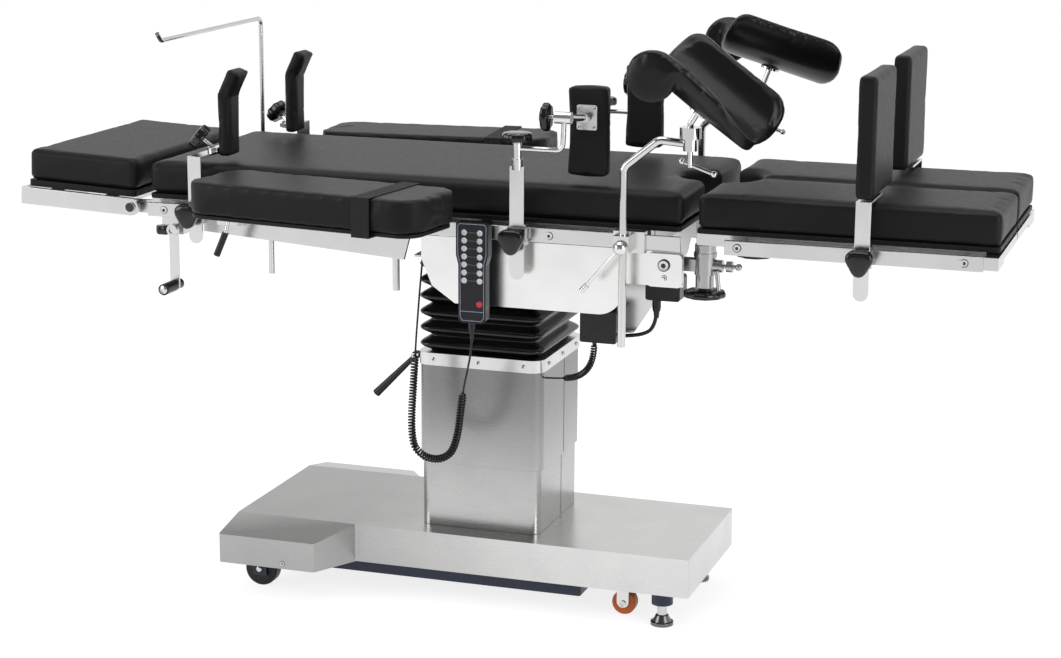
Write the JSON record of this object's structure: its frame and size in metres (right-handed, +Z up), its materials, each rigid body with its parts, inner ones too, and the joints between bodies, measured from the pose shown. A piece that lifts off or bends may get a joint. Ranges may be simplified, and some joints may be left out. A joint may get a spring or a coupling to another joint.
{
  "type": "operating table",
  "caption": "Mobile operating table on a lifting column, with split legs, rail accessories and a wired hand control.",
  "frame": {"origin": "on the floor, under the middle of the table's outline", "axes": "+X points to the foot end, +Y to the side away from the hand control, +Z up"},
  "size_m": [2.0855, 1.0568, 1.2461],
  "materials": {
    "steel_brushed": "brushed stainless steel",
    "steel_polished": "polished stainless steel",
    "navy_paint": "dark blue satin paint",
    "cushion": "black satin leatherette",
    "board_black": "black laminate",
    "black_plastic": "black moulded plastic",
    "black_rubber": "black folded rubber",
    "orange_tyre": "orange polyurethane",
    "black_tyre": "black polyurethane",
    "cast_grey": "machined alloy",
    "dark_plastic": "dark grey moulded case",
    "key_white": "white keys"
  },
  "bodies": {
    "base": {"base_cover": "steel_brushed", "base_chassis": "navy_paint", "column_lower_cover": "steel_brushed", "lift_cylinder": "steel_brushed"},
    "feet": {"brake_feet": "cast_grey"},
    "column": {"column_upper_cover": "steel_brushed", "lift_ram": "steel_polished", "bellows": "black_rubber"},
    "lever": {"hand_lever": "black_plastic"},
    "yoke": {"tilt_yoke": "cast_grey"},
    "seat": {"seat_frame": "cast_grey", "seat_side_plates": "steel_polished", "seat_rails": "steel_brushed", "seat_board": "board_black", "seat_pad": "cushion", "fold_pad": "cushion", "control_boxes": "black_plastic", "handset_case": "dark_plastic", "handset_keys": "key_white", "handset_cord": "black_rubber", "power_cords": "black_rubber", "seat_rail_clamps": "steel_brushed"},
    "back": {"back_frame": "cast_grey", "back_rails": "steel_brushed", "back_board": "board_black", "back_pad": "cushion", "back_rail_clamps": "steel_brushed"},
    "head": {"head_frame": "steel_brushed", "head_board": "board_black", "head_pad": "cushion"},
    "crank": {"head_crank": "steel_polished"},
    "screen": {"screen_rod": "steel_polished"},
    "head_wheel_near": {"head_wheel_near": "black_tyre"},
    "castor_near": {"castor_fork_near": "cast_grey"},
    "castor_wheel_near": {"castor_wheel_near": "orange_tyre"},
    "head_wheel_far": {"head_wheel_far": "black_tyre"},
    "castor_far": {"castor_fork_far": "cast_grey"},
    "castor_wheel_far": {"castor_wheel_far": "orange_tyre"},
    "knuckle_near": {"leg_knuckle_near": "cast_grey"},
    "leg_near": {"leg_frame_near": "steel_brushed", "leg_pad_near": "cushion"},
    "foot_plate_near": {"foot_plate_near": "cushion"},
    "arm_near": {"arm_board_near": "board_black", "arm_pad_near": "cushion"},
    "shoulder_near": {"shoulder_support_near": "cushion"},
    "lateral_rod_near": {"lateral_rod_near": "steel_polished"},
    "lateral_pad_near": {"lateral_pad_near": "cushion"},
    "stirrup_near": {"stirrup_post_near": "steel_polished"},
    "crutch_near": {"crutch_cushion_near": "cushion"},
    "knuckle_far": {"leg_knuckle_far": "cast_grey"},
    "leg_far": {"leg_frame_far": "steel_brushed", "leg_pad_far": "cushion"},
    "foot_plate_far": {"foot_plate_far": "cushion"},
    "arm_far": {"arm_board_far": "board_black", "arm_pad_far": "cushion"},
    "shoulder_far": {"shoulder_support_far": "cushion"},
    "lateral_rod_far": {"lateral_rod_far": "steel_polished"},
    "lateral_pad_far": {"lateral_pad_far": "cushion"},
    "stirrup_far": {"stirrup_post_far": "steel_polished"},
    "crutch_far": {"crutch_cushion_far": "cushion"}
  },
  "joints": [
    {"name": "feet_lift", "type": "slide", "parent": "base", "child": "feet", "axis": [0, 0, 1], "range_m": [0, 0.012]},
    {"name": "head_wheel_near_spin", "type": "hinge", "parent": "base", "child": "head_wheel_near", "pos_m": [-0.532, -0.19, 0.037], "axis": [0, 1, 0], "continuous": true},
    {"name": "castor_near_swivel", "type": "hinge", "parent": "base", "child": "castor_near", "pos_m": [0.252, -0.115, 0.09], "axis": [0, 0, 1], "continuous": true},
    {"name": "castor_wheel_near_spin", "type": "hinge", "parent": "castor_near", "child": "castor_wheel_near", "pos_m": [0.27, -0.115, 0.028], "axis": [0, 1, 0], "continuous": true},
    {"name": "head_wheel_far_spin", "type": "hinge", "parent": "base", "child": "head_wheel_far", "pos_m": [-0.532, 0.19, 0.037], "axis": [0, 1, 0], "continuous": true},
    {"name": "castor_far_swivel", "type": "hinge", "parent": "base", "child": "castor_far", "pos_m": [0.252, 0.115, 0.09], "axis": [0, 0, 1], "continuous": true},
    {"name": "castor_wheel_far_spin", "type": "hinge", "parent": "castor_far", "child": "castor_wheel_far", "pos_m": [0.27, 0.115, 0.028], "axis": [0, 1, 0], "continuous": true},
    {"name": "column_lift", "type": "slide", "parent": "base", "child": "column", "axis": [0, 0, 1], "range_m": [-0.1, 0.1]},
    {"name": "lever_swing", "type": "hinge", "parent": "column", "child": "lever", "pos_m": [-0.1995, -0.118, 0.526], "axis": [0, 1, 0], "range_deg": [-15, 60]},
    {"name": "lengthwise_tilt", "type": "hinge", "parent": "column", "child": "yoke", "pos_m": [-0.05, 0, 0.69], "axis": [0, -1, 0], "range_deg": [-25, 25], "deforming": ["bellows"]},
    {"name": "sideways_tilt", "type": "hinge", "parent": "yoke", "child": "seat", "pos_m": [-0.05, 0, 0.735], "axis": [1, 0, 0], "range_deg": [-15, 15], "deforming": ["power_cords"]},
    {"name": "back_tilt", "type": "hinge", "parent": "seat", "child": "back", "pos_m": [-0.143, 0, 0.838], "axis": [0, 1, 0], "range_deg": [-15, 75], "deforming": ["fold_pad", "handset_cord"]},
    {"name": "head_tilt", "type": "hinge", "parent": "back", "child": "head", "pos_m": [-0.786, 0, 0.834], "axis": [0, 1, 0], "range_deg": [-90, 12]},
    {"name": "crank_turn", "type": "hinge", "parent": "back", "child": "crank", "pos_m": [-0.684, -0.28, 0.793], "axis": [0, -1, 0], "range_deg": [-35, 30]},
    {"name": "screen_turn", "type": "hinge", "parent": "back", "child": "screen", "pos_m": [-0.741, 0.301, 0.85], "axis": [0, 0, 1], "range_deg": [-90, 60]},
    {"name": "leg_near_fold", "type": "hinge", "parent": "seat", "child": "knuckle_near", "pos_m": [0.38, -0.222, 0.785], "axis": [0, 1, 0], "range_deg": [-5, 90]},
    {"name": "leg_near_spread", "type": "hinge", "parent": "knuckle_near", "child": "leg_near", "pos_m": [0.454, -0.222, 0.785], "axis": [0, 0, -1], "range_deg": [0, 60]},
    {"name": "foot_plate_near_height", "type": "slide", "parent": "leg_near", "child": "foot_plate_near", "axis": [0, 0, 1], "range_m": [-0.007, 0.07]},
    {"name": "arm_near_swing", "type": "hinge", "parent": "back", "child": "arm_near", "pos_m": [-0.545, -0.31, 0.87], "axis": [0, 0, -1], "range_deg": [0, 75]},
    {"name": "shoulder_near_height", "type": "slide", "parent": "back", "child": "shoulder_near", "axis": [0, 0, 1], "range_m": [-0.012, 0.045]},
    {"name": "lateral_near_height", "type": "slide", "parent": "seat", "child": "lateral_rod_near", "axis": [0, 0, 1], "range_m": [-0.014, 0.07]},
    {"name": "lateral_near_swivel", "type": "hinge", "parent": "lateral_rod_near", "child": "lateral_pad_near", "pos_m": [0.207, -0.228, 1.068], "axis": [0, 1, 0], "range_deg": [-35, 35]},
    {"name": "stirrup_near_turn", "type": "hinge", "parent": "seat", "child": "stirrup_near", "pos_m": [0.308, -0.306, 0.83], "axis": [0, 0, -1], "range_deg": [0, 45]},
    {"name": "crutch_near_turn", "type": "hinge", "parent": "stirrup_near", "child": "crutch_near", "pos_m": [0.44, -0.306, 1.06], "axis": [0, 0, -1], "range_deg": [-20, 20]},
    {"name": "leg_far_fold", "type": "hinge", "parent": "seat", "child": "knuckle_far", "pos_m": [0.38, 0.222, 0.785], "axis": [0, 1, 0], "range_deg": [-5, 90]},
    {"name": "leg_far_spread", "type": "hinge", "parent": "knuckle_far", "child": "leg_far", "pos_m": [0.454, 0.222, 0.785], "axis": [0, 0, 1], "range_deg": [0, 60]},
    {"name": "foot_plate_far_height", "type": "slide", "parent": "leg_far", "child": "foot_plate_far", "axis": [0, 0, 1], "range_m": [-0.007, 0.07]},
    {"name": "arm_far_swing", "type": "hinge", "parent": "back", "child": "arm_far", "pos_m": [-0.583, 0.31, 0.87], "axis": [0, 0, 1], "range_deg": [0, 70]},
    {"name": "shoulder_far_height", "type": "slide", "parent": "back", "child": "shoulder_far", "axis": [0, 0, 1], "range_m": [-0.012, 0.045]},
    {"name": "lateral_far_height", "type": "slide", "parent": "seat", "child": "lateral_rod_far", "axis": [0, 0, 1], "range_m": [-0.014, 0.07]},
    {"name": "lateral_far_swivel", "type": "hinge", "parent": "lateral_rod_far", "child": "lateral_pad_far", "pos_m": [0.207, 0.228, 1.068], "axis": [0, 1, 0], "range_deg": [-35, 35]},
    {"name": "stirrup_far_turn", "type": "hinge", "parent": "seat", "child": "stirrup_far", "pos_m": [0.308, 0.306, 0.83], "axis": [0, 0, 1], "range_deg": [0, 45]},
    {"name": "crutch_far_turn", "type": "hinge", "parent": "stirrup_far", "child": "crutch_far", "pos_m": [0.44, 0.306, 1.06], "axis": [0, 0, 1], "range_deg": [-20, 20]}
  ]
}
